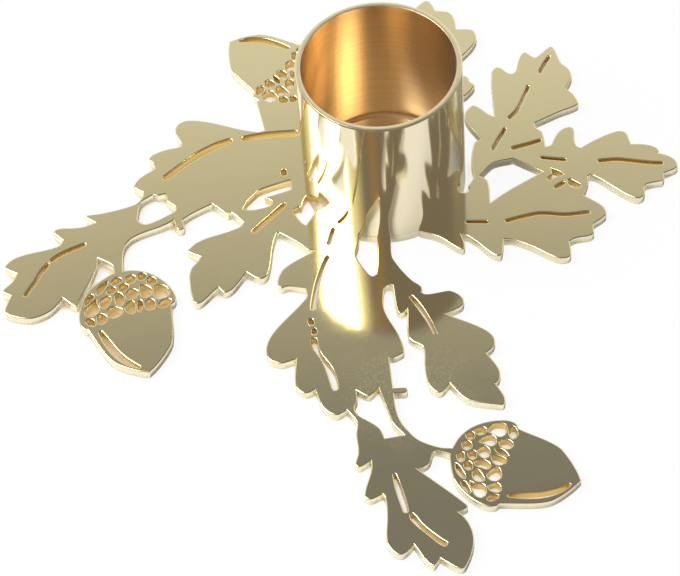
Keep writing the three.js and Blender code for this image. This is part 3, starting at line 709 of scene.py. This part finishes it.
def makeTable(look):
    material, tree = newTree("whiteTable")
    direct, glossy, through = tree.seenBy("Is Camera Ray", "Is Glossy Ray", "Is Transmission Ray")
    place = tree.place()
    x, y, z = tree.parts(place)
    away = tree.distance(place, look["acornPlace"]) / look["acornReach"]
    acorn = ((1.0 - away) * look["acornGain"]).clamped()
    leftwards = 0.0 - x
    left = leftwards.rising(look["leftStart"], look["leftFade"])
    # in a narrow cut the floor lies in shadow and has only the golden light that comes off the cut's walls
    cuts = tree.add("ShaderNodeAmbientOcclusion", {"samples": look["cutSamples"]},
                    {"Distance": look["cutReach"]}, "AO")
    shade = left * look["leftDark"] + acorn * look["acornDark"]
    bare = (cuts - look["dark"] - shade) / look["fade"]
    # in reflections the floor glows brighter in narrow cuts and on the open floor left of the cup: painted
    # light
    narrow = cuts.rising(look["cutStart"], look["cutFade"]) * cuts.falling(look["cutEnd"], look["cutFade"])
    clear = cuts.rising(look["clearStart"], look["clearFade"]) * leftwards.rising(0.0, look["clearWidth"])
    mirrored = look["mirroredShare"] + narrow * look["paintedCutLightShare"] + clear * look["paintedLampSideLightShare"]
    share = direct * look["seenShare"] + (glossy + through) * mirrored
    matt = tree.surface(
        {"Base Color": look["white"], "Roughness": look["rough"], "Specular IOR Level": 0.0})
    inCuts = tree.mixed(bare.clamped(), look["golden"], look["cream"])
    shaded = tree.mixed((bare - look["creamWidth"]).clamped(), inCuts, pureWhite)
    colour = tree.mixed(direct, pureWhite, shaded)
    glow = tree.add("ShaderNodeEmission", {}, {"Color": colour, "Strength": 1.0})
    tree.output(tree.add("ShaderNodeMixShader", {}, {0: share, 1: matt, 2: glow}))
    body = bmesh.new()
    bmesh.ops.create_grid(body, x_segments=1, y_segments=1, size=look["size"] / 2,
                          matrix=Matrix.Translation((0, 0, -look["drop"])))
    mesh = bpy.data.meshes.new("whiteTable")
    body.to_mesh(mesh)
    body.free()
    mesh.materials.append(material)
    piece = bpy.data.objects.new("whiteTable", mesh)
    scene.collection.objects.link(piece)


makeTable(table)

# Studio: a pale room behind the table that darkens overhead, and a soft lamp on the left.
# Each ramp runs from level with the table (0) to straight overhead (1).
room = {
    "back": ((0.0, (0.95, 0.95, 0.95)), (0.70, (0.92, 0.92, 0.93)), (0.764, (0.765, 0.765, 0.80)),
             (0.781, (0.64, 0.625, 0.63)), (0.80, (0.49, 0.48, 0.485)), (0.82, (0.35, 0.345, 0.36)),
             (0.836, (0.215, 0.217, 0.26)), (1.0, (0.19, 0.19, 0.23))),
    "side": ((0.0, (1.0, 1.0, 1.0)), (0.769, (1.0, 1.0, 1.0)), (0.778, (0.25, 0.24, 0.27)),
             (1.0, (0.19, 0.19, 0.23))),
    "warmBack": ((0.0, (0.95, 0.95, 0.95)), (0.70, (0.92, 0.92, 0.93)), (0.755, (0.56, 0.49, 0.29)),
                 (0.80, (0.46, 0.41, 0.27)), (0.836, (0.215, 0.217, 0.26)), (1.0, (0.19, 0.19, 0.23))),
    "front": ((0.0, (0.42, 0.42, 0.43)), (0.40, (0.24, 0.23, 0.27)), (0.65, (0.235, 0.225, 0.29)),
              (0.85, (0.225, 0.215, 0.28)), (1.0, (0.20, 0.20, 0.25))),
    "backStart": 0.2,  # sideways and backward slopes at which one part of the room takes over from the next
    "backFade": 0.3,
    "sideStart": 0.2,
    "sideFade": 0.2,
    "farStart": 0.65,
    "farFade": 0.15,
    "nearLift": 0.012,  # the near part of the side darkens a little lower down
    "warmBackStart": 0.22,
    "warmBackFade": 0.12,
    "warm": (0.37, 0.245, 0.21, 1.0),  # a warm strip of the room behind the camera
    "warmSide": -0.29,  # its sideways slope
    "warmWidth": 0.12,
    "glow": pureWhite,  # wall of the room lit up round the lamp
    "glowWay": (-0.586, -0.028, 0.81),
    "glowEdge": 0.845,
    "glowFade": 0.07,
}


def makeRoom(look):
    world = bpy.data.worlds.new("studioRoom")
    scene.world = world
    tree = Tree(world)
    way = tree.add("ShaderNodeTexCoord", {}, {}, "Generated")
    x, y, z = tree.parts(way)
    back = z.ramp(*look["back"])
    front = z.ramp(*look["front"])
    level = (x.squared() + y.squared()).root()
    sideways = x / level
    towards = (y / level).rising(look["backStart"], look["backFade"])
    right = sideways.rising(look["sideStart"], look["sideFade"])
    far = sideways.rising(look["farStart"], look["farFade"])
    left = (0.0 - sideways).rising(look["warmBackStart"], look["warmBackFade"])
    back = tree.mixed(left, back, z.ramp(*look["warmBack"]))
    back = tree.mixed(right, back, (z + (1.0 - far) * look["nearLift"]).ramp(*look["side"]))
    # peaked where the strip is, on the front side only
    aside = (sideways - look["warmSide"]) / look["warmWidth"]
    warmth = (1.0 - aside.squared()).clamped() * (y < 0.0)
    light = tree.mixed(warmth, tree.mixed(towards, front, back), look["warm"])
    near = tree.add("ShaderNodeVectorMath", {"operation": "DOT_PRODUCT"},
                    {0: way, 1: look["glowWay"]}, "Value")
    light = tree.mixed(near.rising(look["glowEdge"], look["glowFade"]), light, look["glow"])
    seen, = tree.seenBy("Is Camera Ray")
    shown = tree.mixed(seen, light, pureWhite)
    glow = tree.add("ShaderNodeBackground", {}, {"Color": shown, "Strength": 1.0})
    tree.output(glow, "ShaderNodeOutputWorld")


makeRoom(room)

lamp = {"watts": 4.3, "size": (0.5, 0.4), "place": (-0.42, -0.02, 0.58), "aim": (0.0, 0.0, 0.0)}


def makeLamp(look):
    light = bpy.data.lights.new("softLamp", "AREA")
    light.shape = "RECTANGLE"
    light.size, light.size_y = look["size"]
    light.energy = look["watts"]
    holder = bpy.data.objects.new("softLamp", light)
    holder.location = look["place"]
    way = Vector(look["aim"]) - Vector(look["place"])
    holder.rotation_euler = way.to_track_quat("-Z", "Y").to_euler()
    scene.collection.objects.link(holder)


makeLamp(lamp)

camera = {
    "lens": 173.67,
    "sensor": 36.0,
    "nearest": 0.01,
    "place": (-7.9374 * mm, -299.9174 * mm, 385.8663 * mm),
    "right": (0.99690725, -0.06356927, -0.04620473),
    "up": (0.07858708, 0.80640058, 0.5861247),
    "back": (0.0, -0.58794306, 0.80890231),
}


def makeCamera(look):
    data = bpy.data.cameras.new("studioCamera")
    data.lens = look["lens"]
    data.sensor_width = look["sensor"]
    data.clip_start = look["nearest"]
    holder = bpy.data.objects.new("studioCamera", data)
    turn = Matrix((look["right"], look["up"], look["back"])).transposed().to_4x4()
    holder.matrix_world = Matrix.Translation(look["place"]) @ turn
    scene.collection.objects.link(holder)
    scene.camera = holder


makeCamera(camera)
print("studio ready")
